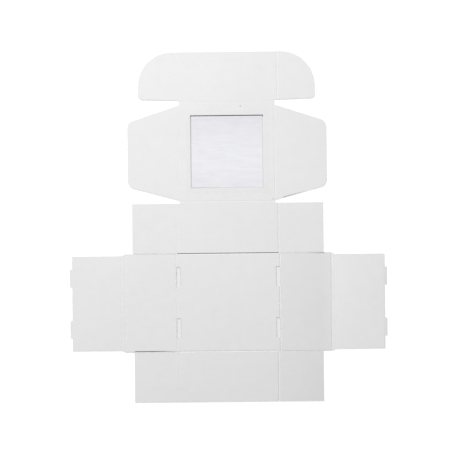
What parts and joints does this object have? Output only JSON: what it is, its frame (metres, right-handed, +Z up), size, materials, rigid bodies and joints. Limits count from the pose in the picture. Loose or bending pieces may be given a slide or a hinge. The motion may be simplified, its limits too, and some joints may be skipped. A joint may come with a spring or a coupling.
{
  "type": "mailer box",
  "caption": "Flat die-cut mailer of fine white corrugated board that folds into a tuck-front box, with a film window in its lid.",
  "frame": {"origin": "middle of the under side of the bottom panel, on the surface the flat blank rests on", "axes": "+X right across the blank, +Y from the bottom panel to the lid, +Z up out of the white inner side"},
  "size_m": [0.4948, 0.5464, 0.0016],
  "materials": {
    "outer_paper": "smooth white liner",
    "kraft_fluting": "raw kraft paper",
    "inner_paper": "matt white liner",
    "window_glue": "clear dried glue",
    "window_film": "clear glossy film"
  },
  "bodies": {
    "bottom": {"bottom_outer_liner": "outer_paper", "bottom_fluting": "kraft_fluting", "bottom_inner_liner": "inner_paper"},
    "front_wall": {"front_wall_outer_liner": "outer_paper", "front_wall_fluting": "kraft_fluting", "front_wall_inner_liner": "inner_paper"},
    "back_wall": {"back_wall_outer_liner": "outer_paper", "back_wall_fluting": "kraft_fluting", "back_wall_inner_liner": "inner_paper"},
    "lid": {"lid_outer_liner": "outer_paper", "lid_fluting": "kraft_fluting", "lid_inner_liner": "inner_paper", "window_glue": "window_glue", "window_film": "window_film"},
    "tuck": {"tuck_outer_liner": "outer_paper", "tuck_fluting": "kraft_fluting", "tuck_inner_liner": "inner_paper"},
    "left_wall": {"left_wall_outer_liner": "outer_paper", "left_wall_fluting": "kraft_fluting", "left_wall_inner_liner": "inner_paper"},
    "left_rim": {"left_rim_outer_liner": "outer_paper", "left_rim_fluting": "kraft_fluting", "left_rim_inner_liner": "inner_paper"},
    "left_inner_wall": {"left_inner_wall_outer_liner": "outer_paper", "left_inner_wall_fluting": "kraft_fluting", "left_inner_wall_inner_liner": "inner_paper"},
    "front_left_flap": {"front_left_flap_outer_liner": "outer_paper", "front_left_flap_fluting": "kraft_fluting", "front_left_flap_inner_liner": "inner_paper"},
    "back_left_flap": {"back_left_flap_outer_liner": "outer_paper", "back_left_flap_fluting": "kraft_fluting", "back_left_flap_inner_liner": "inner_paper"},
    "lid_left_wing": {"lid_left_wing_outer_liner": "outer_paper", "lid_left_wing_fluting": "kraft_fluting", "lid_left_wing_inner_liner": "inner_paper"},
    "tuck_left_ear": {"tuck_left_ear_outer_liner": "outer_paper", "tuck_left_ear_fluting": "kraft_fluting", "tuck_left_ear_inner_liner": "inner_paper"},
    "right_wall": {"right_wall_outer_liner": "outer_paper", "right_wall_fluting": "kraft_fluting", "right_wall_inner_liner": "inner_paper"},
    "right_rim": {"right_rim_outer_liner": "outer_paper", "right_rim_fluting": "kraft_fluting", "right_rim_inner_liner": "inner_paper"},
    "right_inner_wall": {"right_inner_wall_outer_liner": "outer_paper", "right_inner_wall_fluting": "kraft_fluting", "right_inner_wall_inner_liner": "inner_paper"},
    "front_right_flap": {"front_right_flap_outer_liner": "outer_paper", "front_right_flap_fluting": "kraft_fluting", "front_right_flap_inner_liner": "inner_paper"},
    "back_right_flap": {"back_right_flap_outer_liner": "outer_paper", "back_right_flap_fluting": "kraft_fluting", "back_right_flap_inner_liner": "inner_paper"},
    "lid_right_wing": {"lid_right_wing_outer_liner": "outer_paper", "lid_right_wing_fluting": "kraft_fluting", "lid_right_wing_inner_liner": "inner_paper"},
    "tuck_right_ear": {"tuck_right_ear_outer_liner": "outer_paper", "tuck_right_ear_fluting": "kraft_fluting", "tuck_right_ear_inner_liner": "inner_paper"}
  },
  "joints": [
    {"name": "front_wall_fold", "type": "hinge", "parent": "bottom", "child": "front_wall", "pos_m": [0, -0.0762, 0.0002], "axis": [-1, 0, 0], "range_deg": [0, 90]},
    {"name": "back_wall_fold", "type": "hinge", "parent": "bottom", "child": "back_wall", "pos_m": [0, 0.0762, 0.0002], "axis": [1, 0, 0], "range_deg": [0, 90]},
    {"name": "lid_fold", "type": "hinge", "parent": "back_wall", "child": "lid", "pos_m": [0, 0.1581, 0.0002], "axis": [1, 0, 0], "range_deg": [0, 90]},
    {"name": "tuck_fold", "type": "hinge", "parent": "lid", "child": "tuck", "pos_m": [0, 0.3131, 0.0002], "axis": [1, 0, 0], "range_deg": [0, 90]},
    {"name": "left_wall_fold", "type": "hinge", "parent": "bottom", "child": "left_wall", "pos_m": [-0.08085, 0, 0.0002], "axis": [0, 1, 0], "range_deg": [0, 90]},
    {"name": "left_rim_fold", "type": "hinge", "parent": "left_wall", "child": "left_rim", "pos_m": [-0.1612, 0, 0.0002], "axis": [0, 1, 0], "range_deg": [0, 90]},
    {"name": "left_inner_wall_fold", "type": "hinge", "parent": "left_rim", "child": "left_inner_wall", "pos_m": [-0.16685, 0, 0.0002], "axis": [0, 1, 0], "range_deg": [0, 90]},
    {"name": "front_left_flap_fold", "type": "hinge", "parent": "front_wall", "child": "front_left_flap", "pos_m": [-0.07775, -0.1157, 0.0002], "axis": [0, 1, 0], "range_deg": [0, 90]},
    {"name": "back_left_flap_fold", "type": "hinge", "parent": "back_wall", "child": "back_left_flap", "pos_m": [-0.0793, 0.11715, 0.0002], "axis": [0, 1, 0], "range_deg": [0, 90]},
    {"name": "lid_left_wing_fold", "type": "hinge", "parent": "lid", "child": "lid_left_wing", "pos_m": [-0.07465, 0.2356, 0.0002], "axis": [0, 1, 0], "range_deg": [0, 90]},
    {"name": "tuck_left_ear_fold", "type": "hinge", "parent": "tuck", "child": "tuck_left_ear", "pos_m": [-0.0793, 0.35215, 0.0002], "axis": [0, 1, 0], "range_deg": [0, 90]},
    {"name": "right_wall_fold", "type": "hinge", "parent": "bottom", "child": "right_wall", "pos_m": [0.08085, 0, 0.0002], "axis": [0, -1, 0], "range_deg": [0, 90]},
    {"name": "right_rim_fold", "type": "hinge", "parent": "right_wall", "child": "right_rim", "pos_m": [0.1612, 0, 0.0002], "axis": [0, -1, 0], "range_deg": [0, 90]},
    {"name": "right_inner_wall_fold", "type": "hinge", "parent": "right_rim", "child": "right_inner_wall", "pos_m": [0.16685, 0, 0.0002], "axis": [0, -1, 0], "range_deg": [0, 90]},
    {"name": "front_right_flap_fold", "type": "hinge", "parent": "front_wall", "child": "front_right_flap", "pos_m": [0.07775, -0.1157, 0.0002], "axis": [0, -1, 0], "range_deg": [0, 90]},
    {"name": "back_right_flap_fold", "type": "hinge", "parent": "back_wall", "child": "back_right_flap", "pos_m": [0.0793, 0.11715, 0.0002], "axis": [0, -1, 0], "range_deg": [0, 90]},
    {"name": "lid_right_wing_fold", "type": "hinge", "parent": "lid", "child": "lid_right_wing", "pos_m": [0.07465, 0.2356, 0.0002], "axis": [0, -1, 0], "range_deg": [0, 90]},
    {"name": "tuck_right_ear_fold", "type": "hinge", "parent": "tuck", "child": "tuck_right_ear", "pos_m": [0.0793, 0.35215, 0.0002], "axis": [0, -1, 0], "range_deg": [0, 90]}
  ]
}
